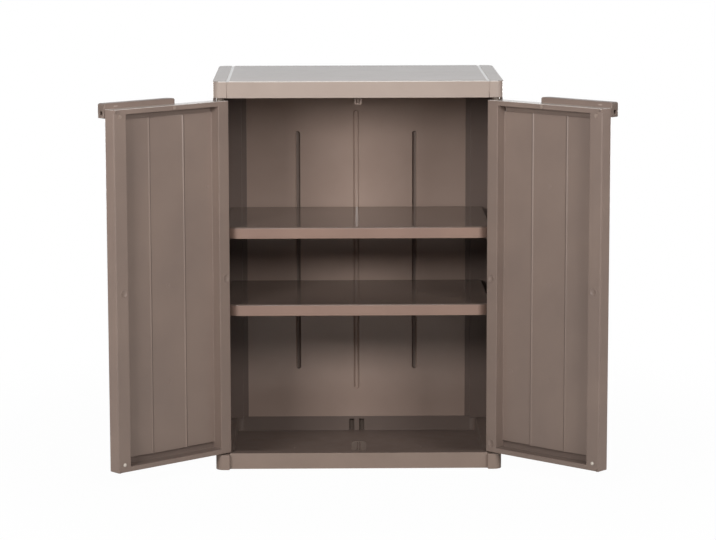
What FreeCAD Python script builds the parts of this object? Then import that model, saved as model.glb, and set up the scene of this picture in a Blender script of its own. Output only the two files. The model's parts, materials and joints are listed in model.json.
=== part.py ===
"""Low garden storage cabinet in moulded resin: two pinned doors, two shelves and a shallow tray base.

Millimetres. The origin is the middle of the footprint on the ground, +X to the right as seen
from the front, +Y to the back and +Z up. The doors stand open, as the cabinet is shown.
"""
import FreeCAD
import Part
import math
import os

# Body
body_width = 646.0
body_depth = 430.0
body_height = 880.0
corner_radius = 18.0
wall = 3.0
fit_gap = 0.3

# Base tray
base_height = 36.5
base_rim = 38.0
back_rim = 30.0
foot_size = 32.0
foot_drop = 2.5
front_set_back = 10.0
front_ground_gap = 0.5
tray_floor = 5.5
tray_corner_radius = 16.0
centre_foot_radius = 20.0
back_upstand = 3.0
back_upstand_depth = 12.0
clip_recess_width = 12.0
clip_rib_width = 12.0
clip_recess_depth = 10.0
clip_recess_top = 33.0
clip_recess_radius = 3.0
hinge_pocket_drop = 2.0

# Top panel
top_thickness = 37.0
top_edge_radius = 2.0
top_bead_width = 7.0
top_bead_depth = 1.0
top_bead_inset = 2.0
top_rib_height = 16.0
top_ribs_across = 2
top_ribs_along = 5

# Corner seams, down the front and the back of the top and the base
seam_width = 2.5
seam_depth = 1.5

# Side panels
front_post_width = 23.0
front_post_depth = 26.0
rear_post_width = 52.0
rear_post_depth = 36.0
rear_lip_width = 12.0
rear_lip_thickness = 3.7
side_planks = 4
plank_groove_width = 6.0
plank_groove_depth = 1.5
tongue_height = 14.0
tongue_length = 250.0

# Back panel
back_inset = 28.0
back_tongue = 6.0
bead_spacing = 138.5
bead_width = 12.0
bead_depth = 5.0
bead_draft = 3.0
side_bead_margin = 116.0
middle_bead_margin = 66.0
middle_bead_extra = 2.0

# Shelves
shelf_tops = {"upper": 548.0, "lower": 372.0}
shelf_front = 42.0
shelf_lip = 26.0
shelf_side_gap = 2.0
shelf_back_gap = 0.5
shelf_corner_radius = 30.0
shelf_edge_radius = 3.5
shelf_rib_height = 14.0
shelf_ribs_across = 2
shelf_ribs_along = 5
bracket_reach = 34.0
bracket_length = 40.0
bracket_height = 26.0
bracket_plate = 4.0

# Doors
door_side_gap = 2.0
door_middle_gap = 3.0
door_bottom_gap = 1.0
door_top_gap = 7.0
door_thickness = 32.0
door_skin = 3.0
door_edge_radius = 10.0
door_free_radius = 3.0
free_stile = 34.0
hinge_stile = 30.0
top_rail = 11.5
bottom_rail = 11.5
door_plank = 95.0
field_margin = 13.5
field_step = 4.0
left_open_angle = 138.9
right_open_angle = 137.4
door_swing_gap = 1.5

# Hinge pins
hinge_side_inset = 16.0
hinge_front_inset = 18.0
pin_radius = 5.0
pin_running_gap = 0.05
pin_collar_radius = 8.0
pin_in_door = 22.0
pin_in_socket = 18.0

# Handles with padlock eyes
handle_length = 193.5
handle_reach = 24.0
handle_height = 32.5
handle_rise = 11.5
handle_plate = 3.5
handle_slab_gap = 1.0
handle_end_radius = 14.0
handle_edge_radius = 4.0
eye_plate = 4.0
eye_radius = 4.5
eye_below_top = 21.0
eye_from_front = 11.0

# Catches and the tongues that enter them
catch_back_gap = 2.0
catch_thickness = 5.0
top_catch_width = 16.0
top_catch_height = 18.5
base_catch_width = 34.0
base_catch_height = 22.0
catch_tip = 3.0
catch_foot = 1.5
tongue_thickness = 2.0
tongue_from_edge = 0.3
tongue_side_gap = 0.6
tongue_reach = 6.0
tongue_end_gap = 1.0
tongue_tip_gap = 2.0

# Small fasteners
screw_head_radius = 4.0
screw_head_height = 2.0
screw_shank_radius = 1.8
screw_hole_gap = 0.1
stile_screw_drop = 16.0
plug_radius = 5.0
plug_head = 1.2
plug_shank_radius = 3.0
plug_depth = 8.0
plug_inset = 17.0

half_width = body_width / 2
front = -body_depth / 2
back = body_depth / 2
top_underside = body_height - top_thickness
seam_x = half_width - foot_size
pivot_x = half_width - hinge_side_inset
pivot_y = front + hinge_front_inset
pocket_z = base_height - hinge_pocket_drop
door_bottom = base_height + door_bottom_gap
door_top = top_underside - door_top_gap
door_hinge_x = half_width - door_side_gap
door_free_x = door_middle_gap / 2
edge_radius = min(door_edge_radius, door_thickness / 2)
edge_reach = (math.hypot(door_hinge_x - edge_radius - pivot_x, hinge_front_inset - edge_radius)
              + edge_radius)
side_front = pivot_y + edge_reach + door_swing_gap
side_plank = (back - corner_radius - side_front) / side_planks
corner_block = side_front - front + wall
tongue_rise = top_catch_height - catch_tip - tongue_tip_gap - door_top_gap - tongue_end_gap
back_plane = back - back_inset
upstand_front = back - back_rim
upstand_top = base_height + back_upstand
upstand_half = half_width - rear_post_width - fit_gap
rear_post_front = back - rear_post_depth


def vector(x, y, z):
    return FreeCAD.Vector(x, y, z)


def box(x0, x1, y0, y1, z0, z1):
    """A box between two corners, given in either order."""
    low = vector(min(x0, x1), min(y0, y1), min(z0, z1))
    return Part.makeBox(abs(x1 - x0), abs(y1 - y0), abs(z1 - z0), low)


def upright(radius, x, y, z0, z1):
    """A cylinder that stands along Z."""
    return Part.makeCylinder(radius, z1 - z0, vector(x, y, z0))


def along_y(radius, x, z, y0, y1):
    """A cylinder that lies along Y."""
    return Part.makeCylinder(radius, y1 - y0, vector(x, y0, z), vector(0, 1, 0))


def corner_arc(centre, radius, start):
    """A quarter circle in plan, from the angle start, in degrees, to 90 degrees on."""
    angles = [math.radians(start + step) for step in (0, 45, 90)]
    points = [centre + vector(radius * math.cos(a), radius * math.sin(a), 0) for a in angles]
    return Part.Arc(*points).toShape(), points[0], points[2]


def rounded_plate(x0, x1, y0, y1, z0, z1, radii):
    """A flat plate with its own radius at each corner: front left, front right, back right, back left."""
    corners = [(x0, y0, 1, 1, 180), (x1, y0, -1, 1, 270), (x1, y1, -1, -1, 0), (x0, y1, 1, -1, 90)]
    edges = []
    ends = []
    for (x, y, side_x, side_y, start), radius in zip(corners, radii):
        if radius > 0:
            centre = vector(x + side_x * radius, y + side_y * radius, z0)
            arc, first, last = corner_arc(centre, radius, start)
            ends.append((first, last, arc))
        else:
            ends.append((vector(x, y, z0), vector(x, y, z0), None))
    for index, (first, last, arc) in enumerate(ends):
        if arc:
            edges.append(arc)
        following = ends[(index + 1) % 4][0]
        edges.append(Part.LineSegment(last, following).toShape())
    face = Part.Face(Part.Wire(edges))
    return face.extrude(vector(0, 0, z1 - z0))


def rounded_block(x0, x1, y0, y1, z0, z1, radius):
    """A flat plate with the same radius at its four corners."""
    return rounded_plate(x0, x1, y0, y1, z0, z1, [radius] * 4)


def drafted_bar(x, y0, y1, z0, z1, radius, draft):
    """An upright bar with round ends, from y0 to y1, whose walls lean in by the draft on the way."""
    low = z0 + radius
    high = z1 - radius
    outlines = []
    for y, reach in ((y0, radius), (y1, radius - draft)):
        parts = [
            Part.Arc(vector(x - reach, y, low), vector(x, y, low - reach), vector(x + reach, y, low)),
            Part.LineSegment(vector(x + reach, y, low), vector(x + reach, y, high)),
            Part.Arc(vector(x + reach, y, high), vector(x, y, high + reach), vector(x - reach, y, high)),
            Part.LineSegment(vector(x - reach, y, high), vector(x - reach, y, low))]
        outlines.append(Part.Wire([part.toShape() for part in parts]))
    return Part.makeLoft(outlines, True, True)


def joined(pieces):
    """One clean solid from pieces that meet."""
    return pieces[0].fuse(pieces[1:]).removeSplitter()


def mirrored(shape):
    """The same shape on the other side of the middle."""
    return shape.mirror(vector(0, 0, 0), vector(1, 0, 0))


def body_outline(inset, z0, z1):
    """The plan of the whole cabinet, pulled in by inset."""
    radius = max(corner_radius - inset, 1.0)
    return rounded_block(
        -half_width + inset, half_width - inset, front + inset, back - inset, z0, z1, radius)


def corner_squares(size, z0, z1):
    """The four corners of the footprint, as squares of one size."""
    squares = []
    for x in (-half_width, half_width - size):
        for y in (front, back - size):
            squares.append(box(x, x + size, y, y + size, z0, z1))
    return squares


def seams(z0, z1):
    """The upright lines that set off the corners, on the front and the back."""
    cuts = []
    for side in (-1, 1):
        x0 = side * seam_x - seam_width / 2
        for y in (front, back - seam_depth):
            cuts.append(box(x0, x0 + seam_width, y, y + seam_depth, z0, z1))
    return cuts


def pin_sockets(z0, z1):
    """The bores that the hinge pins turn in."""
    bore = pin_radius + pin_running_gap
    return [upright(bore, side * pivot_x, pivot_y, z0, z1) for side in (-1, 1)]


def tray_outline(grow, z0, z1):
    """The plan of the sunken floor, made larger by grow."""
    inner = half_width - base_rim + grow
    return rounded_block(
        -inner, inner, front + base_rim - grow, upstand_front + grow, z0, z1,
        tray_corner_radius + grow)


def side_tongue_slots(z0, z1, gap):
    """The slots, or with no gap the tongues, where each side panel is keyed to its neighbours."""
    outer = half_width - wall
    start = -tongue_length / 2
    shapes = []
    for side in (-1, 1):
        shapes.append(box(
            side * (outer + gap), side * (outer - wall - gap),
            start - gap, start + tongue_length + gap, z0, z1))
    return shapes


def clip_recess(side):
    """The recess in the rear wall of the tray on one side of the rib, its outer top corner rounded."""
    inner = side * clip_rib_width / 2
    outer = inner + side * clip_recess_width
    block = box(inner, outer, upstand_front - fit_gap, upstand_front + clip_recess_depth,
                tray_floor, clip_recess_top)
    corner = [edge for edge in block.Edges
              if all(abs(v.X - outer) < 1e-6 and abs(v.Z - clip_recess_top) < 1e-6
                     for v in edge.Vertexes)]
    return block.makeFillet(clip_recess_radius, corner)


def clip_housing(side):
    """The walls round one recess, inside the hollow rim."""
    inner = side * (clip_rib_width / 2 - wall)
    outer = side * (clip_rib_width / 2 + clip_recess_width + wall)
    return box(inner, outer, upstand_front + wall / 2, upstand_front + clip_recess_depth + wall,
               foot_drop, base_height - wall / 2)


def base_tray():
    """A moulded tray: a hollow rim round a sunken floor, on four corner feet and a middle one.

    Between the front feet the rim stands back, and its front wall reaches almost to the ground.
    """
    rim = body_outline(0, foot_drop, base_height)
    feet = [body_outline(0, 0, base_height).common(square)
            for square in corner_squares(foot_size, 0, base_height)]
    face = front + front_set_back
    front_wall = box(-seam_x, seam_x, face, face + wall, front_ground_gap, base_height)
    hollow = body_outline(wall, foot_drop, base_height - wall)
    hollow = hollow.cut([tray_outline(wall, foot_drop, base_height - wall),
                         box(-half_width, half_width, front, face + wall, foot_drop, base_height)]
                        + corner_squares(corner_block, foot_drop, base_height - wall))
    shape = rim.cut(hollow).cut(tray_outline(0, tray_floor, base_height))
    centre_foot = upright(centre_foot_radius, 0, 0, 0, tray_floor)
    upstand = box(-upstand_half, upstand_half, upstand_front, upstand_front + back_upstand_depth,
                  base_height - wall, upstand_top)
    shape = joined([shape, centre_foot, upstand, front_wall] + feet
                   + [clip_housing(side) for side in (-1, 1)])
    recesses = [clip_recess(side) for side in (-1, 1)]
    pockets = [box(side * seam_x, side * (half_width + 1), front - 1, side_front,
                   pocket_z, base_height + 1) for side in (-1, 1)]
    sockets = pin_sockets(pocket_z - pin_in_socket, base_height)
    slots = side_tongue_slots(base_height - tongue_height, base_height, fit_gap)
    inner_foot_x = seam_x + seam_width / 2
    step = box(-inner_foot_x, inner_foot_x, front - 1, face, 0, base_height + 1)
    cuts = recesses + pockets + sockets + slots + seams(0, base_height) + [step]
    return shape.cut(cuts).removeSplitter()


def top_panel():
    """A moulded lid: a flat skin with a skirt, ribs beneath and a boss at each front corner."""
    outside = body_outline(0, top_underside, body_height)
    rim = [edge for edge in outside.Edges
           if all(abs(v.Z - body_height) < 1e-6 for v in edge.Vertexes)]
    outside = outside.makeFillet(top_edge_radius, rim)
    inside = body_outline(wall, top_underside, body_height - wall)
    shell = outside.cut(inside)
    solid_inside = body_outline(wall / 2, top_underside, body_height - wall)
    bosses = [solid_inside.common(box(side * seam_x, side * half_width, front, front + foot_size,
                                      top_underside, body_height)) for side in (-1, 1)]
    beam_back = front + base_rim
    beam = box(-half_width + wall, half_width - wall, beam_back, beam_back + wall,
               top_underside, body_height - wall)
    catch_pad = box(-base_catch_width / 2, base_catch_width / 2, front + wall, beam_back + wall,
                    body_height - wall - top_rib_height, body_height - wall)
    catch_seat = box(-base_catch_width / 2, base_catch_width / 2,
                     front + door_thickness, beam_back + wall, top_underside, body_height - wall)
    ribs = []
    rib_bottom = body_height - wall - top_rib_height
    for index in range(top_ribs_across):
        y = front + (index + 1) * body_depth / (top_ribs_across + 1)
        ribs.append(box(-half_width + wall, half_width - wall, y - wall / 2, y + wall / 2,
                        rib_bottom, body_height - wall))
    for index in range(top_ribs_along):
        x = -half_width + (index + 1) * body_width / (top_ribs_along + 1)
        ribs.append(box(x - wall / 2, x + wall / 2, front + wall, back - wall,
                        rib_bottom, body_height - wall))
    shape = joined([shell, beam, catch_pad, catch_seat] + bosses + ribs)
    cuts = pin_sockets(top_underside, top_underside + pin_in_socket)
    cuts += seams(top_underside, body_height)
    for side in (-1, 1):
        x0 = side * (seam_x - top_bead_inset) - top_bead_width / 2
        cuts.append(box(x0, x0 + top_bead_width, front, back,
                        body_height - top_bead_depth, body_height))
    slots = side_tongue_slots(top_underside, top_underside + tongue_height, fit_gap)
    return shape.cut(cuts + slots).removeSplitter()


def groove(x, y, depth, z0, z1):
    """A V-shaped bar along Z whose open side faces +X, to cut a groove between two planks."""
    half = plank_groove_width / 2
    points = [vector(x, y - half, z0), vector(x - depth, y, z0), vector(x, y + half, z0)]
    face = Part.Face(Part.makePolygon(points + points[:1]))
    return face.extrude(vector(0, 0, z1 - z0))


def right_side_panel():
    """A plank-grooved sheet with a hollow post along its front and its back edge."""
    z0 = base_height
    z1 = top_underside
    outline = body_outline(0, z0, z1)
    lining = body_outline(wall, z0, z1)
    x1 = half_width
    sheet = outline.common(box(x1 - wall, x1, side_front, back - corner_radius, z0, z1))
    front_post = box(x1 - front_post_width, x1, side_front, side_front + front_post_depth, z0, z1)
    front_hollow = box(x1 - front_post_width + wall, x1 - wall, side_front + wall,
                       side_front + front_post_depth - wall, z0, z1)
    post_x = x1 - rear_post_width
    rear_post = outline.common(box(post_x, x1, rear_post_front, back, z0, z1))
    rear_hollow = lining.common(box(post_x + wall, x1, rear_post_front + wall, back, z0, z1))
    lip = box(post_x - rear_lip_width, post_x, back_plane - fit_gap - rear_lip_thickness,
              back_plane - fit_gap, z0 + back_upstand + fit_gap, z1)
    slot = box(post_x, post_x + wall, back_plane - fit_gap, back_plane + wall + fit_gap, z0, z1)
    grooves = []
    ridges = []
    for index in range(1, side_planks):
        y = side_front + index * side_plank
        grooves.append(groove(x1, y, plank_groove_depth, z0, z1))
        ridges.append(groove(x1 - wall, y, plank_groove_depth, z0, z1))
    shape = joined([sheet, front_post, rear_post, lip] + ridges)
    shape = shape.cut([front_hollow, rear_hollow, slot] + grooves)
    lower = side_tongue_slots(base_height - tongue_height + fit_gap, base_height, 0)[1]
    upper = side_tongue_slots(top_underside, top_underside + tongue_height - fit_gap, 0)[1]
    root = side_tongue_slots(base_height, base_height + wall, 0)[1]
    head = side_tongue_slots(top_underside - wall, top_underside, 0)[1]
    return joined([shape, lower, root, head, upper])


def back_panel():
    """A flat sheet held in the rear posts, with three upright beads pressed out to the back."""
    half = upstand_half + fit_gap + back_tongue
    z0 = upstand_top
    z1 = top_underside
    sheet = box(-half, half, back_plane, back_plane + wall, z0, z1)
    radius = bead_width / 2
    beads = [(-bead_spacing, side_bead_margin, radius),
             (0, middle_bead_margin, radius + middle_bead_extra / 2),
             (bead_spacing, side_bead_margin, radius)]
    raised = []
    sunk = []
    for x, margin, radius in beads:
        low = z0 + margin
        high = z1 - margin
        raised.append(drafted_bar(x, back_plane + wall / 2, back_plane + wall + bead_depth,
                                  low - wall, high + wall, radius + wall, bead_draft))
        sunk.append(drafted_bar(x, back_plane, back_plane + bead_depth, low, high, radius, bead_draft))
    return joined([sheet] + raised).cut(sunk).removeSplitter()


def shelf(top):
    """A moulded shelf: a flat skin with a deep lip all round and ribs beneath."""
    half = half_width - front_post_width - shelf_side_gap
    y0 = front + shelf_front
    y1 = rear_post_front - shelf_back_gap
    radii = [shelf_corner_radius, shelf_corner_radius, corner_radius / 2, corner_radius / 2]
    bottom = top - shelf_lip
    outside = rounded_plate(-half, half, y0, y1, bottom, top, radii)
    rim = [edge for edge in outside.Edges
           if all(abs(v.Z - top) < 1e-6 for v in edge.Vertexes)]
    outside = outside.makeFillet(shelf_edge_radius, rim)
    inner_radii = [radius - wall for radius in radii]
    inside = rounded_plate(-half + wall, half - wall, y0 + wall, y1 - wall, bottom, top - wall,
                           inner_radii)
    ribs = []
    low = top - wall - shelf_rib_height
    for index in range(shelf_ribs_across):
        y = y0 + (index + 1) * (y1 - y0) / (shelf_ribs_across + 1)
        ribs.append(box(-half + wall / 2, half - wall / 2, y - wall / 2, y + wall / 2,
                        low, top - wall / 2))
    for index in range(shelf_ribs_along):
        x = -half + (index + 1) * 2 * half / (shelf_ribs_along + 1)
        ribs.append(box(x - wall / 2, x + wall / 2, y0 + wall / 2, y1 - wall / 2,
                        low, top - wall / 2))
    return joined([outside.cut(inside)] + ribs)


def right_brackets(top):
    """Two wedge brackets on the right side panel, under the ends of one shelf."""
    z1 = top - shelf_lip
    x1 = half_width - wall
    ridge_half = plank_groove_width / 2
    last_ridge = side_front + (side_planks - 1) * side_plank
    clear_stretches = [(side_front + front_post_depth, side_front + side_plank - ridge_half),
                       (last_ridge + ridge_half, rear_post_front)]
    solids = []
    for near, far in clear_stretches:
        y0 = (near + far - bracket_length) / 2
        points = [vector(x1, y0, z1), vector(x1 - bracket_reach, y0, z1),
                  vector(x1 - bracket_reach, y0, z1 - bracket_plate),
                  vector(x1, y0, z1 - bracket_height)]
        web = Part.Face(Part.makePolygon(points + points[:1]))
        solids.append(web.extrude(vector(0, bracket_length, 0)))
    return Part.Compound(solids)


def right_closed_door():
    """The right door as it stands shut: a plank-grooved skin in a deep frame, with two tongues."""
    x0 = door_free_x
    x1 = door_hinge_x
    y0 = front
    y1 = front + door_thickness
    z0 = door_bottom
    z1 = door_top
    block = rounded_plate(x0, x1, y0, y1, z0, z1,
                          [door_free_radius, edge_radius, door_free_radius, door_free_radius])
    field_x0 = x0 + free_stile
    field_x1 = x1 - hinge_stile
    field_z0 = z0 + bottom_rail
    field_z1 = z1 - top_rail
    floor_y = y0 + door_skin
    recess = box(field_x0, field_x1, floor_y, y1, field_z0, field_z1)
    panel = box(field_x0, field_x1, floor_y, floor_y + field_step,
                field_z0 + field_margin, field_z1 - field_margin)
    panel_core = box(field_x0 + wall, field_x1 - wall, y0, floor_y + field_step - door_skin,
                     field_z0 + field_margin + wall, field_z1 - field_margin - wall)
    field_x = (field_x0 + field_x1) / 2
    grooves = []
    ridges = []
    half = plank_groove_width / 2
    skin_y = floor_y + field_step - door_skin
    for x in (field_x - door_plank / 2, field_x + door_plank / 2):
        for y, shapes in ((skin_y, grooves), (floor_y + field_step, ridges)):
            corners = [vector(x - half, y, field_z0 + field_margin),
                       vector(x, y + plank_groove_depth, field_z0 + field_margin),
                       vector(x + half, y, field_z0 + field_margin)]
            face = Part.Face(Part.makePolygon(corners + corners[:1]))
            height = field_z1 - field_z0 - 2 * field_margin
            shapes.append(face.extrude(vector(0, 0, height)))
    tongue_x = x0 + tongue_from_edge
    tongue_y = y1 - wall
    tongues = []
    for low in (z0 + tongue_end_gap, z1 - tongue_end_gap - tongue_rise):
        tongues.append(box(tongue_x, tongue_x + tongue_thickness, tongue_y, y1 + tongue_reach,
                           low, low + tongue_rise))
    frame = block.cut(recess)
    shape = joined([frame, panel] + ridges + tongues)
    bore = pin_radius + pin_running_gap
    pins = [upright(bore, pivot_x, pivot_y, z0, z0 + pin_in_door),
            upright(bore, pivot_x, pivot_y, z1 - pin_in_door, z1)]
    screw_holes = [along_y(screw_shank_radius + screw_hole_gap, x, z, y0, y1)
                   for x, z in handle_screws()]
    plug_hole = along_y(plug_shank_radius + screw_hole_gap, plug_x(), plug_z(), y1 - plug_depth, y1)
    return shape.cut([panel_core] + grooves + pins + screw_holes + [plug_hole]).removeSplitter()


def handle_screws():
    """Where the two screws of the right handle stand, in X and Z, across the shut door."""
    return [(door_free_x + free_stile / 2, door_top - stile_screw_drop),
            (door_free_x + handle_length - 2 * handle_end_radius, door_top - top_rail / 2)]


def plug_x():
    return door_free_x + plug_inset


def plug_z():
    return door_bottom + plug_inset


def right_closed_handle():
    """A ledge across the top of the shut right door, with a finger gap below and a padlock eye."""
    x0 = door_free_x
    x1 = x0 + handle_length
    y0 = front - handle_reach
    z1 = door_top + handle_rise
    z0 = z1 - handle_height
    outline = rounded_plate(x0, x1, y0, front, z0, z1, [0, handle_end_radius, 0, 0])
    rim = [edge for edge in outline.Edges
           if all(abs(v.Z - z1) < 1e-6 for v in edge.Vertexes)
           and any(v.Y < front - 1e-6 for v in edge.Vertexes)]
    outline = outline.makeFillet(handle_edge_radius, rim)
    hollow = rounded_plate(x0 + eye_plate, x1 - handle_plate, y0 + handle_plate,
                           front - handle_plate, z0, z1 - handle_plate,
                           [0, handle_end_radius - handle_plate, 0, 0])
    behind_slab = box(x0, x1, front - handle_slab_gap, front, door_top, z1)
    eye = Part.makeCylinder(eye_radius, eye_plate, vector(x0, y0 + eye_from_front, z1 - eye_below_top),
                            vector(1, 0, 0))
    holes = [along_y(screw_shank_radius + screw_hole_gap, x, z, front - handle_plate, front)
             for x, z in handle_screws()]
    return outline.cut([hollow, behind_slab, eye] + holes).removeSplitter()


def right_closed_screws():
    """The two screws that hold the right handle, driven from inside the door."""
    solids = []
    head_y = front + door_thickness
    for x, z in handle_screws():
        head = along_y(screw_head_radius, x, z, head_y, head_y + screw_head_height)
        shank = along_y(screw_shank_radius, x, z, front - handle_plate, head_y)
        solids.append(head.fuse(shank).removeSplitter())
    return Part.Compound(solids)


def right_closed_plug():
    """The pale plug in the lower free corner of the right door, on its inner face."""
    head_y = front + door_thickness
    head = along_y(plug_radius, plug_x(), plug_z(), head_y, head_y + plug_head)
    shank = along_y(plug_shank_radius, plug_x(), plug_z(), head_y - plug_depth, head_y)
    return head.fuse(shank).removeSplitter()


def right_pin(end, direction, seat):
    """A stepped pin: a shank in the door, a collar in the gap and a spigot in the socket."""
    collar_end = seat - direction * fit_gap
    tip = collar_end + direction * (pin_in_socket - 2 * fit_gap)
    root = end - direction * (pin_in_door - fit_gap)
    shank = upright(pin_radius, pivot_x, pivot_y, min(root, tip), max(root, tip))
    collar = upright(pin_collar_radius, pivot_x, pivot_y, min(end, collar_end), max(end, collar_end))
    return shank.fuse(collar).removeSplitter()


def catch(width, height, foot_z, direction):
    """A clip with two slots for the door tongues, on a foot that lies against its panel."""
    y0 = front + door_thickness + catch_back_gap
    tip_z = foot_z + direction * height
    rounding = min(width / 2, height) / 2
    plate = box(-width / 2, width / 2, y0, y0 + catch_thickness, foot_z, tip_z)
    rim = [edge for edge in plate.Edges
           if all(abs(v.Z - tip_z) < 1e-6 for v in edge.Vertexes)
           and abs(edge.Vertexes[0].X - edge.Vertexes[1].X) < 1e-6]
    plate = plate.makeFillet(rounding, rim)
    slots = []
    slot_end = foot_z + direction * (height - catch_tip)
    for side in (-1, 1):
        near = door_free_x + tongue_from_edge - tongue_side_gap
        far = near + tongue_thickness + 2 * tongue_side_gap
        slots.append(box(side * near, side * far, y0, y0 + catch_thickness,
                         foot_z + direction * catch_foot, slot_end))
    return plate.cut(slots)


def top_catch():
    """The clip that hangs from the front beam of the top panel."""
    return catch(top_catch_width, top_catch_height, top_underside, -1)


def base_catch():
    """The clip that stands on the front rim of the base."""
    return catch(base_catch_width, base_catch_height, base_height, 1)


def swung(shape, side):
    """A piece of the shut right door, mirrored for the left, and turned open on its pins."""
    angle = right_open_angle if side > 0 else left_open_angle
    placed = shape if side > 0 else mirrored(shape)
    placed = placed.copy()
    placed.rotate(vector(side * pivot_x, pivot_y, 0), vector(0, 0, 1), side * angle)
    return placed


def nodes():
    """Every piece of the cabinet by name."""
    pieces = {
        "base_tray": base_tray(),
        "top_panel": top_panel(),
        "back_panel": back_panel(),
        "right_side_panel": right_side_panel(),
        "left_side_panel": mirrored(right_side_panel()),
        "top_catch": top_catch(),
        "base_catch": base_catch(),
    }
    for name, top in shelf_tops.items():
        pieces[name + "_shelf"] = shelf(top)
        pieces[name + "_right_brackets"] = right_brackets(top)
        pieces[name + "_left_brackets"] = mirrored(right_brackets(top))
    for side, name in ((1, "right"), (-1, "left")):
        pieces[name + "_door"] = swung(right_closed_door(), side)
        pieces[name + "_handle"] = swung(right_closed_handle(), side)
        pieces[name + "_handle_screws"] = swung(right_closed_screws(), side)
        pieces[name + "_door_plug"] = swung(right_closed_plug(), side)
        pieces[name + "_upper_pin"] = swung(right_pin(door_top, 1, top_underside), side)
        pieces[name + "_lower_pin"] = swung(right_pin(door_bottom, -1, pocket_z), side)
    return pieces


def main():
    os.makedirs("parts", exist_ok=True)
    for name, shape in nodes().items():
        shape.exportStep(os.path.join("parts", name + ".step"))
        print(name, len(shape.Solids), "solid(s)", round(shape.Volume), "mm3",
              "valid" if shape.isValid() else "NOT VALID")
    eye = vector(door_free_x, front - handle_reach + eye_from_front,
                 door_top + handle_rise - eye_below_top)
    for side, name in ((1, "right"), (-1, "left")):
        point = swung(Part.Vertex(eye), side)
        print(name, "padlock eye", [round(value, 3) for value in point.Point])
        print(name, "hinge axis", side * pivot_x, pivot_y)


main()
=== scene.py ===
import json
import math

import bmesh
import bpy
import numpy as np
from mathutils import Matrix, Vector

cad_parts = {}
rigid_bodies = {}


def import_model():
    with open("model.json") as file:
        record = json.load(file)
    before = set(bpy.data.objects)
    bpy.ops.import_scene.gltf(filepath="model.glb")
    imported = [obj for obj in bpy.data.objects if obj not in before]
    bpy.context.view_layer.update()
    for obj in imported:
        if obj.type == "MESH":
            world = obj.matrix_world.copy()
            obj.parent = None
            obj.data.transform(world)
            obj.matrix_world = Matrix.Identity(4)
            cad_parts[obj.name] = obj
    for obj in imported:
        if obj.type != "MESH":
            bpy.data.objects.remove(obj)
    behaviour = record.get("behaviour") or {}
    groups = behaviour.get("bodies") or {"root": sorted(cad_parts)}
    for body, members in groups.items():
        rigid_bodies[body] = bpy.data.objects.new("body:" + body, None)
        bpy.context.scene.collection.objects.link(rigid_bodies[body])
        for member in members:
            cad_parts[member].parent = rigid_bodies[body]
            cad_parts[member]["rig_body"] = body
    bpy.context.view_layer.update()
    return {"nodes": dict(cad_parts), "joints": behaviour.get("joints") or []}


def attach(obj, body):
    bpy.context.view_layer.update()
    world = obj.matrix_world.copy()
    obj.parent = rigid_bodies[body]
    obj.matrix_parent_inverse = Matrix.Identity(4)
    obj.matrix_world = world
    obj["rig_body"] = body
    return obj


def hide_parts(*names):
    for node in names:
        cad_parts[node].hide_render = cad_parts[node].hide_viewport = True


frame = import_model()
nodes = frame["nodes"]
mm = 0.001
print("frame loaded:", len(nodes), "nodes")


# Colours and nodes

def linearColour(hexColour):
    channels = [int(hexColour[i:i + 2], 16) / 255 for i in (1, 3, 5)]
    linear = [c / 12.92 if c <= 0.04045 else ((c + 0.055) / 1.055) ** 2.4 for c in channels]
    return (*linear, 1.0)


def addNode(tree, kind, settings, inputs):
    node = tree.nodes.new(kind)
    for name, value in settings.items():
        setattr(node, name, value)
    for name, value in inputs.items():
        if isinstance(value, bpy.types.NodeSocket):
            tree.links.new(value, node.inputs[name])
        else:
            node.inputs[name].default_value = value
    return node


# Materials

# the Mix node has a socket of each kind under the same name, so the colour ones go by number
mixColour = {"first": 6, "second": 7, "result": 2}

# the part of a noise's values that is spread over the whole range, so that it shows
noiseBand = {"cloudLow": 0.35, "cloudHigh": 0.65, "patchLow": 0.3, "patchHigh": 0.7}


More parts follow.
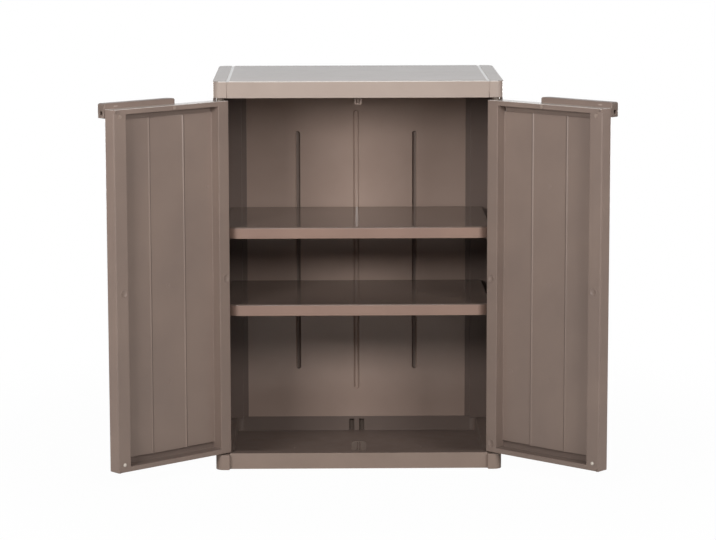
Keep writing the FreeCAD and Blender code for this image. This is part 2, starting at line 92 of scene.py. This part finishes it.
def mouldedPlastic(name, look):
    material = bpy.data.materials.new(name)
    material.use_nodes = True
    tree = material.node_tree
    tree.nodes.clear()
    place = addNode(tree, "ShaderNodeTexCoord", {}, {}).outputs["Object"]
    # slow drift of the pigment over a hand's width
    clouds = addNode(tree, "ShaderNodeTexNoise", {}, {
        "Vector": place, "Scale": 1 / (look["cloudSize"] * mm), "Detail": 3.0, "Roughness": 0.55})
    spread = addNode(tree, "ShaderNodeMapRange", {}, {
        "Value": clouds.outputs["Fac"],
        "From Min": noiseBand["cloudLow"], "From Max": noiseBand["cloudHigh"],
        "To Min": 0.0, "To Max": 1.0})
    tint = addNode(tree, "ShaderNodeMix", {"data_type": "RGBA"}, {
        "Factor": spread.outputs["Result"],
        mixColour["first"]: linearColour(look["colour"]),
        mixColour["second"]: linearColour(look["drift"])})
    # the mould's polish varies from patch to patch
    patches = addNode(tree, "ShaderNodeTexNoise", {}, {
        "Vector": place, "Scale": 1 / (look["patchSize"] * mm), "Detail": 2.0})
    polish = addNode(tree, "ShaderNodeMapRange", {}, {
        "Value": patches.outputs["Fac"],
        "From Min": noiseBand["patchLow"], "From Max": noiseBand["patchHigh"],
        "To Min": look["roughness"] - look["polishRange"],
        "To Max": look["roughness"] + look["polishRange"]})
    # spark-eroded grain, and the sink of a thin wall over its ribs
    grain = addNode(tree, "ShaderNodeTexNoise", {}, {
        "Vector": place, "Scale": 1 / (look["grainSize"] * mm), "Detail": 2.0, "Roughness": 0.6})
    fineBump = addNode(tree, "ShaderNodeBump", {}, {
        "Strength": look["grainStrength"], "Distance": look["grainDepth"] * mm,
        "Height": grain.outputs["Fac"]})
    sink = addNode(tree, "ShaderNodeTexNoise", {}, {
        "Vector": place, "Scale": 1 / (look["sinkSize"] * mm), "Detail": 1.0})
    bump = addNode(tree, "ShaderNodeBump", {}, {
        "Strength": look["sinkStrength"], "Distance": look["sinkDepth"] * mm,
        "Height": sink.outputs["Fac"], "Normal": fineBump.outputs["Normal"]})
    shader = addNode(tree, "ShaderNodeBsdfPrincipled", {}, {
        "Base Color": tint.outputs[mixColour["result"]], "Roughness": polish.outputs["Result"],
        "IOR": look["ior"], "Normal": bump.outputs["Normal"]})
    addNode(tree, "ShaderNodeOutputMaterial", {}, {"Surface": shader.outputs["BSDF"]})
    return material


# Polypropylene from a spark-eroded mould: taupe, satin, with a very fine even grain.
# The real grain is about 0.2 mm. It is drawn at 1.4 mm, so that it shows at all.
panelLook = {
    "colour": "#8B796F", "drift": "#85746B", "cloudSize": 140.0, "patchSize": 45.0,
    "roughness": 0.38, "polishRange": 0.05, "ior": 1.49,
    "grainSize": 1.4, "grainStrength": 0.16, "grainDepth": 0.12,
    "sinkSize": 70.0, "sinkStrength": 0.25, "sinkDepth": 0.35}

# The side panels are drawn darker, as painted shade, and the base and the shelves paler, as painted
# light on their fronts.
sidePaintedShadeLook = dict(panelLook, colour="#786860", drift="#74645C")
basePaintedLightLook = dict(panelLook, colour="#968378", drift="#907E73")
shelfPaintedLightLook = dict(panelLook, colour="#977C6F", drift="#91776B")

# The sunken floor of the tray has a coarser grain for grip and is duller; its darker colour is painted
# shade inside the tray.
coarseTrayPaintedShadeLook = dict(
    panelLook, colour="#75655D", drift="#706159", roughness=0.5, grainSize=2.4, grainStrength=0.3)

# Deep pockets are rougher still, and their much darker colour is painted shade.
recessPaintedShadeLook = dict(coarseTrayPaintedShadeLook, colour="#63554C", drift="#5F5148", roughness=0.6)

# On the doors the free ends are drawn paler, as painted light, and the shaded sides of the ridges and
# the bottom margin of the field darker, as painted shade.
doorEndPaintedLightLook = dict(panelLook, colour="#A18C81", drift="#9B877D")
doorPaintedShadeLook = dict(panelLook, colour="#786860", drift="#73645C")

# The same polypropylene from a polished mould: the back and the lid mirror
# what is behind them when they are seen at a low angle.
polishedLook = dict(
    panelLook, roughness=0.24, polishRange=0.01, grainStrength=0.04, grainDepth=0.05,
    sinkSize=160.0, sinkStrength=0.02)

# The lid and the back are drawn paler than the panels: on the lid a painted sheen, on the back painted
# light.
lidPaintedSheenLook = dict(polishedLook, colour="#B2A298", drift="#AD9D93")
backPaintedLightLook = dict(polishedLook, colour="#AD978B", drift="#A89286")

# The tops of the shelves are polished nearly like a mirror and show the back in them; their colour is
# darker than the fronts': painted shade on the tops.
mirrorShelfTopPaintedShadeLook = dict(polishedLook, colour="#7A6A61", drift="#75665E", roughness=0.12)

# The floors of the two side beads are rougher, and drawn darker: painted shade in the beads.
beadPaintedShadeLook = dict(panelLook, colour="#7F6F66", drift="#7B6B62", roughness=0.5)

# A near-white, polished tone on the lid's two grooves, the lid's front top edge and the doors' top
# edges: a painted highlight.
rimPaintedHighlightLook = dict(polishedLook, colour="#F0E6DF", drift="#EBE1DA", roughness=0.12)

# Acetal, moulded in its natural colour: pale, smooth and a little waxy, with hardly any grain.
acetalLook = {
    "colour": "#D8CFC4", "drift": "#D0C6BA", "cloudSize": 12.0, "patchSize": 6.0,
    "roughness": 0.3, "polishRange": 0.04, "ior": 1.48,
    "grainSize": 0.8, "grainStrength": 0.05, "grainDepth": 0.08,
    "sinkSize": 9.0, "sinkStrength": 0.1, "sinkDepth": 0.1}

# The plug's flange is duller than the domed middle that shows the natural colour.
plugLook = dict(acetalLook, colour="#9C8E84", drift="#978980", roughness=0.45)

# The same acetal, drawn dark for the hinge pins: painted shade of the gap they sit in.
pinPaintedShadeAcetalLook = dict(acetalLook, colour="#71665D", drift="#6C6158")

# Steel screws lacquered to match: a thick soft film with a fine orange peel.
lacquerLook = {
    "colour": "#9C8B80", "drift": "#97867B", "cloudSize": 8.0, "patchSize": 4.0,
    "roughness": 0.3, "polishRange": 0.05, "ior": 1.5,
    "grainSize": 0.7, "grainStrength": 0.15, "grainDepth": 0.08,
    "sinkSize": 5.0, "sinkStrength": 0.1, "sinkDepth": 0.05}

sparkErodedPolypropylene = mouldedPlastic("sparkErodedPolypropylene", panelLook)
sidePaintedShadePolypropylene = mouldedPlastic("sidePaintedShadePolypropylene", sidePaintedShadeLook)
basePaintedLightPolypropylene = mouldedPlastic("basePaintedLightPolypropylene", basePaintedLightLook)
shelfPaintedLightPolypropylene = mouldedPlastic("shelfPaintedLightPolypropylene", shelfPaintedLightLook)
coarseTrayPaintedShadePolypropylene = mouldedPlastic("coarseTrayPaintedShadePolypropylene", coarseTrayPaintedShadeLook)
roughRecessPaintedShadePolypropylene = mouldedPlastic("roughRecessPaintedShadePolypropylene", recessPaintedShadeLook)
doorEndPaintedLightPolypropylene = mouldedPlastic("doorEndPaintedLightPolypropylene", doorEndPaintedLightLook)
doorPaintedShadePolypropylene = mouldedPlastic("doorPaintedShadePolypropylene", doorPaintedShadeLook)
mirrorShelfTopPaintedShadePolypropylene = mouldedPlastic("mirrorShelfTopPaintedShadePolypropylene", mirrorShelfTopPaintedShadeLook)
lidPaintedSheenPolypropylene = mouldedPlastic("lidPaintedSheenPolypropylene", lidPaintedSheenLook)
backPaintedLightPolypropylene = mouldedPlastic("backPaintedLightPolypropylene", backPaintedLightLook)
beadPaintedShadePolypropylene = mouldedPlastic("beadPaintedShadePolypropylene", beadPaintedShadeLook)
rimPaintedHighlightPolypropylene = mouldedPlastic("rimPaintedHighlightPolypropylene", rimPaintedHighlightLook)
naturalAcetal = mouldedPlastic("naturalAcetal", acetalLook)
dullPlugAcetal = mouldedPlastic("dullPlugAcetal", plugLook)
pinPaintedShadeAcetal = mouldedPlastic("pinPaintedShadeAcetal", pinPaintedShadeAcetalLook)
lacqueredSteel = mouldedPlastic("lacqueredSteel", lacquerLook)
print("materials made")


# Mouldings: each is its solid with the small radius in mm that a mould leaves on a free edge

mouldings = {
    # the tones of the base, lid, back, side panels and shelves are drawn paler or darker: painted
    # light and painted shade
    "base_tray": (basePaintedLightPolypropylene, 0.8),
    "top_panel": (lidPaintedSheenPolypropylene, 1.0),
    "back_panel": (backPaintedLightPolypropylene, 1.6),
    "left_side_panel": (sidePaintedShadePolypropylene, 1.0),
    "right_side_panel": (sidePaintedShadePolypropylene, 1.0),
    "upper_shelf": (shelfPaintedLightPolypropylene, 1.0),
    "lower_shelf": (shelfPaintedLightPolypropylene, 1.0),
    "upper_left_brackets": (sparkErodedPolypropylene, 1.2),
    "upper_right_brackets": (sparkErodedPolypropylene, 1.2),
    "lower_left_brackets": (sparkErodedPolypropylene, 1.2),
    "lower_right_brackets": (sparkErodedPolypropylene, 1.2),
    "top_catch": (sparkErodedPolypropylene, 0.6),
    # the catch takes the pockets' darker tone: painted shade
    "base_catch": (roughRecessPaintedShadePolypropylene, 0.3),
    "left_door": (sparkErodedPolypropylene, 1.4),
    "right_door": (sparkErodedPolypropylene, 1.4),
    "left_handle": (sparkErodedPolypropylene, 1.2),
    "right_handle": (sparkErodedPolypropylene, 1.2)}

# An edge is rounded where it turns by leastAngle and both its faces reach inward by more than
# room times the radius. The reach is measured at these shares of the edge's length.
edgeRound = {
    "leastAngle": math.radians(40), "room": 2.6, "segments": 3, "shares": (0.04, 0.5, 0.96),
    "leastRun": 1e-9, "leastReach": 1e-7,
    "weld": 0.004 * mm, "flat": math.radians(0.8), "crease": math.radians(20)}


def isCorner(edge):
    return len(edge.link_faces) == 2 and edge.calc_face_angle(0) > edgeRound["leastAngle"]


def roomInFace(face):
    # for each corner edge of a face, how far the face reaches inward from it at the least
    starts = np.array([loop.vert.co for loop in face.loops])
    ends = np.roll(starts, -1, axis=0)
    rooms = {}
    for index, loop in enumerate(face.loops):
        if not isCorner(loop.edge):
            continue
        length = loop.edge.calc_length()
        along = (ends[index] - starts[index]) / length
        inward = np.cross(face.normal, along)
        room = 2 * face.calc_area() / length
        for share in edgeRound["shares"]:
            spot = starts[index] + share * length * along
            before, after = (starts - spot) @ along, (ends - spot) @ along
            depth, farDepth = (starts - spot) @ inward, (ends - spot) @ inward
            crossed = (before * after <= 0) & (abs(before - after) > edgeRound["leastRun"])
            crossed[[index - 1, index, (index + 1) % len(starts)]] = False
            part = before[crossed] / (before - after)[crossed]
            reach = depth[crossed] + (farDepth - depth)[crossed] * part
            room = min([room, *reach[reach > edgeRound["leastReach"]]])
        rooms[loop.edge] = room
    return rooms


def roundedMesh(source, radius):
    mesh = bmesh.new()
    mesh.from_mesh(source.data)
    bmesh.ops.remove_doubles(mesh, verts=mesh.verts, dist=edgeRound["weld"])
    bmesh.ops.dissolve_limit(mesh, angle_limit=edgeRound["flat"], verts=mesh.verts, edges=mesh.edges)
    room = {}
    for face in mesh.faces:
        for edge, width in roomInFace(face).items():
            room[edge] = min(width, room.get(edge, width))
    free = [edge for edge, width in room.items() if width > edgeRound["room"] * radius]
    made = bmesh.ops.bevel(mesh, geom=free, offset=radius, segments=edgeRound["segments"],
                           profile=0.5, affect="EDGES", clamp_overlap=False)
    rounds = set(made["faces"])
    for face in mesh.faces:
        face.smooth = True
    for edge in mesh.edges:
        inRound = any(face in rounds for face in edge.link_faces)
        edge.smooth = inRound or edge.calc_face_angle(0) < edgeRound["crease"]
    return mesh


def newPiece(name, mesh, material, body):
    data = bpy.data.meshes.new(name)
    mesh.to_mesh(data)
    mesh.free()
    data.materials.append(material)
    piece = bpy.data.objects.new(name, data)
    bpy.context.scene.collection.objects.link(piece)
    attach(piece, body)
    return piece


def bodyOf(nodeName):
    return nodes[nodeName]["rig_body"]


# Parts of a moulding drawn with painted light or shade: between two corners in mm, where the face
# looks a way by at least a share of 1. A later part takes over from an earlier one.
upward = Vector((0, 0, 1))
paintedLightAndShade = {
    "base_tray": [
        # painted shade over the inside of the tray
        (coarseTrayPaintedShadePolypropylene, (-290, -204.5, 0), (290, 190, 40), upward, -0.5),
        (roughRecessPaintedShadePolypropylene, (-18.1, 185.2, 0), (18.1, 195.1, 33.1), upward, -1)],
    "top_panel": [
        (rimPaintedHighlightPolypropylene, (-292.6, -216, 878.5), (-285.4, 216, 879.5), upward, 0.5),
        (rimPaintedHighlightPolypropylene, (285.4, -216, 878.5), (292.6, 216, 879.5), upward, 0.5),
        (rimPaintedHighlightPolypropylene, (-310, -216, 877), (310, -212.5, 881), upward, 0.2)],
    "back_panel": [
        (beadPaintedShadePolypropylene, (-141.6, 170, 0), (-132.4, 192.3, 880), upward, -1),
        (beadPaintedShadePolypropylene, (132.4, 170, 0), (141.6, 192.3, 880), upward, -1)],
    "upper_shelf": [(mirrorShelfTopPaintedShadePolypropylene, (-300, -200, 500), (300, 200, 600), upward, 0.3)],
    "lower_shelf": [(mirrorShelfTopPaintedShadePolypropylene, (-300, -200, 300), (300, 200, 400), upward, 0.3)]}

# On the doors: painted light on the free end, painted shade on the shaded side of each ridge between
# planks and on the bottom margin of the field, and a painted highlight on the top edge. The first
# three numbers are the least and most Z and the most Y as the door stands open. The ways are those of
# the shut right door. The reach is wide enough for either door.
doorReach = {"side": 700, "front": -500}
doorPaintedLightAndShade = [
    (doorEndPaintedLightPolypropylene, 37, 837, -360, (-1, 0, 0), 0.95),
    (doorPaintedShadePolypropylene, 45, 830, 0, (0.45, 0.89, 0), 0.985),
    (doorPaintedShadePolypropylene, 48.5, 62.7, 0, (0, 0, 1), -1),
    (rimPaintedHighlightPolypropylene, 834.5, 837.5, 0, (0, 0, 1), 0.3)]


def shutAngle(side):
    joint = next(j for j in frame["joints"] if j["name"] == side + "_door_hinge")
    low, high = joint["range_deg"]
    return math.radians(low if side == "right" else high)


for side, sign in (("left", -1), ("right", 1)):
    swing = Matrix.Rotation(-shutAngle(side), 3, "Z")
    paintedLightAndShade[side + "_door"] = [
        (material, (-doorReach["side"], doorReach["front"], low), (doorReach["side"], rear, high),
         swing @ Vector((sign * x, y, z)), share)
        for material, low, high, rear, (x, y, z), share in doorPaintedLightAndShade]


def addPaintedLightAndShade(data, parts):
    for material, low, high, way, share in parts:
        data.materials.append(material)
        for face in data.polygons:
            inside = all(a < value < b for a, value, b in zip(low, face.center / mm, high))
            if inside and face.normal.dot(way) >= share:
                face.material_index = len(data.materials) - 1


for nodeName, (material, radius) in mouldings.items():
    rounded = roundedMesh(nodes[nodeName], radius * mm)
    piece = newPiece(nodeName + "_moulding", rounded, material, bodyOf(nodeName))
    addPaintedLightAndShade(piece.data, paintedLightAndShade.get(nodeName, []))
    normals = piece.modifiers.new("evenNormals", "WEIGHTED_NORMAL")
    normals.keep_sharp = True
    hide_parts(nodeName)
print("mouldings made:", len(mouldings))

# the hinge pins take a dark tone: painted shade of their gap
smallPieces = {"screws": lacqueredSteel, "pin": pinPaintedShadeAcetal, "plug": dullPlugAcetal}

for nodeName, node in nodes.items():
    kind = nodeName.split("_")[-1]
    if kind in smallPieces:
        node.data.materials.clear()
        node.data.materials.append(smallPieces[kind])


# Small marks that the mould leaves. Places are across the shut door: from the hinge edge,
# in from the outer face, and above the ground.

doorMarks = {
    "hingeEdgeX": 321.0, "pivotX": 307.0, "pivotY": -197.0, "outerY": -215.0,
    "plankFace": 7.0, "stileFace": 32.0,
    "gates": {
        "left": [(43.5, 644.5), (156.0, 435.0), (155.5, 217.5)],
        "right": [(159.5, 652.5), (162.0, 434.5), (161.0, 218.0), (52.0, 224.5)]},
    "bosses": {
        "left": [(298.0, 434.0), (12.0, 437.5)],
        "right": [(299.5, 435.5), (14.0, 435.5), (16.0, 58.5)]},
    # a long oval mark on the back of the ledge, above the door
    "oval": (288.0, -1.0, 840.6), "ovalStretch": 4.0,
    # the domed middle of the plug near the foot of the free stile
    "plug": (303.0, 33.2, 54.5)}

# radius and height in mm, from the middle out
gateProfile = [(0.0, 1.1), (0.9, 1.0), (1.4, 0.3), (3.6, 0.2), (4.2, 0.6), (5.0, 0.6), (5.6, -0.4)]
bossProfile = [(0.0, 0.35), (6.2, 0.35), (6.9, 0.9), (8.6, 0.9), (9.3, -0.4)]
pipProfile = [(0.0, 1.2), (1.2, 1.1), (2.0, 0.5), (2.4, -0.4)]
ovalProfile = [(0.0, 0.7), (1.2, 0.6), (1.6, -0.3)]
domeProfile = [(0.0, 0.8), (1.9, 0.65), (3.4, 0.3), (4.2, -0.3)]
turning = {"steps": 40, "crease": math.radians(50)}


def turned(profile, place):
    mesh = bmesh.new()
    steps = turning["steps"]
    rings = []
    for radius, height in profile:
        count = 1 if radius == 0 else steps
        ring = []
        for step in range(count):
            angle = 2 * math.pi * step / steps
            spot = Vector((radius * math.cos(angle), radius * math.sin(angle), height)) * mm
            ring.append(mesh.verts.new(place @ spot))
        rings.append(ring)
    for inner, outer in zip(rings, rings[1:]):
        for step in range(steps):
            after = (step + 1) % steps
            corners = [outer[step], outer[after], inner[after % len(inner)], inner[step % len(inner)]]
            mesh.faces.new(dict.fromkeys(corners))
    mesh.faces.new(rings[-1][::-1])
    bmesh.ops.recalc_face_normals(mesh, faces=mesh.faces)
    for face in mesh.faces:
        face.smooth = True
    for edge in mesh.edges:
        edge.smooth = edge.calc_face_angle(0) < turning["crease"]
    return mesh


def joinedMesh(parts):
    whole = bmesh.new()
    for part in parts:
        data = bpy.data.meshes.new("part")
        part.to_mesh(data)
        part.free()
        whole.from_mesh(data)
        bpy.data.meshes.remove(data)
    return whole


def onDoor(side, fromHinge, depth, z, outward):
    # a frame at that place on the door as it stands open, whose Z is the way the mark rises
    sign = 1 if side == "right" else -1
    spot = Vector((sign * (doorMarks["hingeEdgeX"] - fromHinge), doorMarks["outerY"] + depth, z)) * mm
    pivot = Vector((sign * doorMarks["pivotX"], doorMarks["pivotY"], 0)) * mm
    swing = Matrix.Rotation(-shutAngle(side), 4, "Z")
    facing = Vector(outward).to_track_quat("Z", "Y").to_matrix().to_4x4()
    return Matrix.Translation(pivot) @ swing @ Matrix.Translation(spot - pivot) @ facing


for side in ("left", "right"):
    body = side + "_door_leaf"
    gates = [turned(gateProfile, onDoor(side, u, doorMarks["plankFace"], z, (0, 1, 0)))
             for u, z in doorMarks["gates"][side]]
    newPiece(side + "_door_gate_marks", joinedMesh(gates), sparkErodedPolypropylene, body)
    bosses = [turned(bossProfile, onDoor(side, u, doorMarks["stileFace"], z, (0, 1, 0)))
              for u, z in doorMarks["bosses"][side]]
    newPiece(side + "_door_bosses", joinedMesh(bosses), sparkErodedPolypropylene, body)
    stretch = Matrix.Diagonal((doorMarks["ovalStretch"], 1, 1, 1))
    oval = turned(ovalProfile, onDoor(side, *doorMarks["oval"], (0, 1, 0)) @ stretch)
    # the oval takes the lid's paler tone: a painted highlight
    newPiece(side + "_ledge_oval", oval, lidPaintedSheenPolypropylene, body)
    dome = turned(domeProfile, onDoor(side, *doorMarks["plug"], (0, 1, 0)))
    newPiece(side + "_plug_dome", dome, naturalAcetal, body)

trayMarks = {"fromMiddle": 147.0, "y": -10.0, "floorZ": 5.5}
pips = [turned(pipProfile, Matrix.Translation(Vector((x, trayMarks["y"], trayMarks["floorZ"])) * mm))
        for x in (-trayMarks["fromMiddle"], trayMarks["fromMiddle"])]
newPiece("tray_floor_pips", joinedMesh(pips), coarseTrayPaintedShadePolypropylene, "cabinet")
print("marks made")


# Floor, background and lamps

# Two wide soft boxes stand in front, one each side of the camera, so that each corner of the
# compartments sees only one of them and the middle sees both. A weak third one, close in the
# middle, lifts the back of the upper compartment. Two more stand behind, lower than the lid,
# and light the back and the outer sides.
studio = {
    "floorSize": 40.0, "floorColour": "#E4E3E0", "backdrop": 1.0, "backdropBlend": 0.1,
    "glowNear": 0.98, "glowFar": 1.0, "glowStart": 0.6, "glowEnd": 1.5,
    "leftPower": 30.0, "leftSize": (0.82, 0.48), "leftPlace": (-1.33, -2.2, 1.28),
    "rightPower": 24.0, "rightSize": (0.82, 0.48), "rightPlace": (1.34, -2.2, 1.28),
    "nearPower": 4.8, "nearSize": (0.55, 0.35), "nearPlace": (0.0, -1.35, 1.42),
    "rearLeftPower": 20.0, "rearLeftSize": (0.8, 0.5), "rearLeftPlace": (-1.9, 1.9, 0.55),
    "rearRightPower": 20.0, "rearRightSize": (0.8, 0.5), "rearRightPlace": (1.9, 1.9, 0.55),
    "aim": (0.0, 0.0, 0.5)}


def seenDirectly(tree):
    # 1 for what the camera sees, also through a clear material
    path = addNode(tree, "ShaderNodeLightPath", {}, {})
    either = addNode(tree, "ShaderNodeMath", {"operation": "MAXIMUM"}, {
        0: path.outputs["Is Camera Ray"], 1: path.outputs["Is Transmission Ray"]})
    return either.outputs["Value"]


def makeFloor():
    half = studio["floorSize"] / 2
    data = bpy.data.meshes.new("floor")
    corners = [(-half, -half, 0), (half, -half, 0), (half, half, 0), (-half, half, 0)]
    data.from_pydata(corners, [], [(0, 1, 2, 3)])
    material = bpy.data.materials.new("paleStudioFloor")
    material.use_nodes = True
    tree = material.node_tree
    tree.nodes.clear()
    paint = addNode(tree, "ShaderNodeBsdfDiffuse", {}, {"Color": linearColour(studio["floorColour"])})
    glow = addNode(tree, "ShaderNodeEmission", {}, {"Color": (1, 1, 1, 1), "Strength": 1.0})
    # the floor is white away from the cabinet, and keeps its shadow near it
    place = addNode(tree, "ShaderNodeTexCoord", {}, {}).outputs["Object"]
    away = addNode(tree, "ShaderNodeVectorMath", {"operation": "LENGTH"}, {0: place})
    white = addNode(tree, "ShaderNodeMapRange", {"interpolation_type": "SMOOTHSTEP"}, {
        "Value": away.outputs["Value"], "From Min": studio["glowStart"], "From Max": studio["glowEnd"],
        "To Min": studio["glowNear"], "To Max": studio["glowFar"]})
    share = addNode(tree, "ShaderNodeMath", {"operation": "MULTIPLY"}, {
        0: seenDirectly(tree), 1: white.outputs["Result"]})
    mixed = addNode(tree, "ShaderNodeMixShader", {}, {
        0: share.outputs["Value"], 1: paint.outputs["BSDF"], 2: glow.outputs["Emission"]})
    addNode(tree, "ShaderNodeOutputMaterial", {}, {"Surface": mixed.outputs["Shader"]})
    data.materials.append(material)
    floor = bpy.data.objects.new("floor", data)
    bpy.context.scene.collection.objects.link(floor)


def makeWorld():
    world = bpy.data.worlds.new("studio")
    world.use_nodes = True
    tree = world.node_tree
    tree.nodes.clear()
    # a reflection sees a white backdrop behind the cabinet and a dark room in front of it
    direction = addNode(tree, "ShaderNodeTexCoord", {}, {}).outputs["Generated"]
    axes = addNode(tree, "ShaderNodeSeparateXYZ", {}, {0: direction})
    behind = addNode(tree, "ShaderNodeMapRange", {"interpolation_type": "SMOOTHSTEP"}, {
        "Value": axes.outputs["Y"],
        "From Min": -studio["backdropBlend"], "From Max": studio["backdropBlend"],
        "To Min": 0.0, "To Max": studio["backdrop"]})
    path = addNode(tree, "ShaderNodeLightPath", {}, {})
    mirrored = addNode(tree, "ShaderNodeMath", {"operation": "MULTIPLY"}, {
        0: path.outputs["Is Glossy Ray"], 1: behind.outputs["Result"]})
    strength = addNode(tree, "ShaderNodeMapRange", {}, {
        "Value": seenDirectly(tree), "To Min": mirrored.outputs["Value"], "To Max": 1.0})
    light = addNode(tree, "ShaderNodeBackground", {}, {
        "Color": (1, 1, 1, 1), "Strength": strength.outputs["Result"]})
    addNode(tree, "ShaderNodeOutputWorld", {}, {"Surface": light.outputs["Background"]})
    bpy.context.scene.world = world


def makeLamp(name):
    lamp = bpy.data.lights.new(name + "Lamp", "AREA")
    lamp.shape = "RECTANGLE"
    lamp.size, lamp.size_y = studio[name + "Size"]
    lamp.energy = studio[name + "Power"]
    holder = bpy.data.objects.new(name + "Lamp", lamp)
    place = Vector(studio[name + "Place"])
    holder.location = place
    holder.rotation_euler = (Vector(studio["aim"]) - place).to_track_quat("-Z", "Y").to_euler()
    bpy.context.scene.collection.objects.link(holder)


makeFloor()
makeWorld()
for lampName in ("left", "right", "near", "rearLeft", "rearRight"):
    makeLamp(lampName)
print("studio made")


# Camera: a long lens, a little left of the middle and looking down on the cabinet

view = {
    "place": (-79.7, -6364.7, 1415.4), "turnRight": 0.01277, "tiltDown": 0.1546, "roll": -0.002,
    "focalPixels": 2782.5, "imageWidth": 716, "sensor": 36.0}

camera = bpy.data.cameras.new("camera")
camera.sensor_width = view["sensor"]
camera.lens = view["focalPixels"] / view["imageWidth"] * view["sensor"]
camera.clip_end = 100.0
cameraHolder = bpy.data.objects.new("camera", camera)
turn = (Matrix.Rotation(-view["turnRight"], 3, "Z")
        @ Matrix.Rotation(math.pi / 2 - view["tiltDown"], 3, "X")
        @ Matrix.Rotation(view["roll"], 3, "Z"))
cameraHolder.rotation_euler = turn.to_euler()
cameraHolder.location = Vector(view["place"]) * mm
bpy.context.scene.collection.objects.link(cameraHolder)
bpy.context.scene.camera = cameraHolder
bpy.context.scene.view_settings.view_transform = "Standard"
print("camera set")
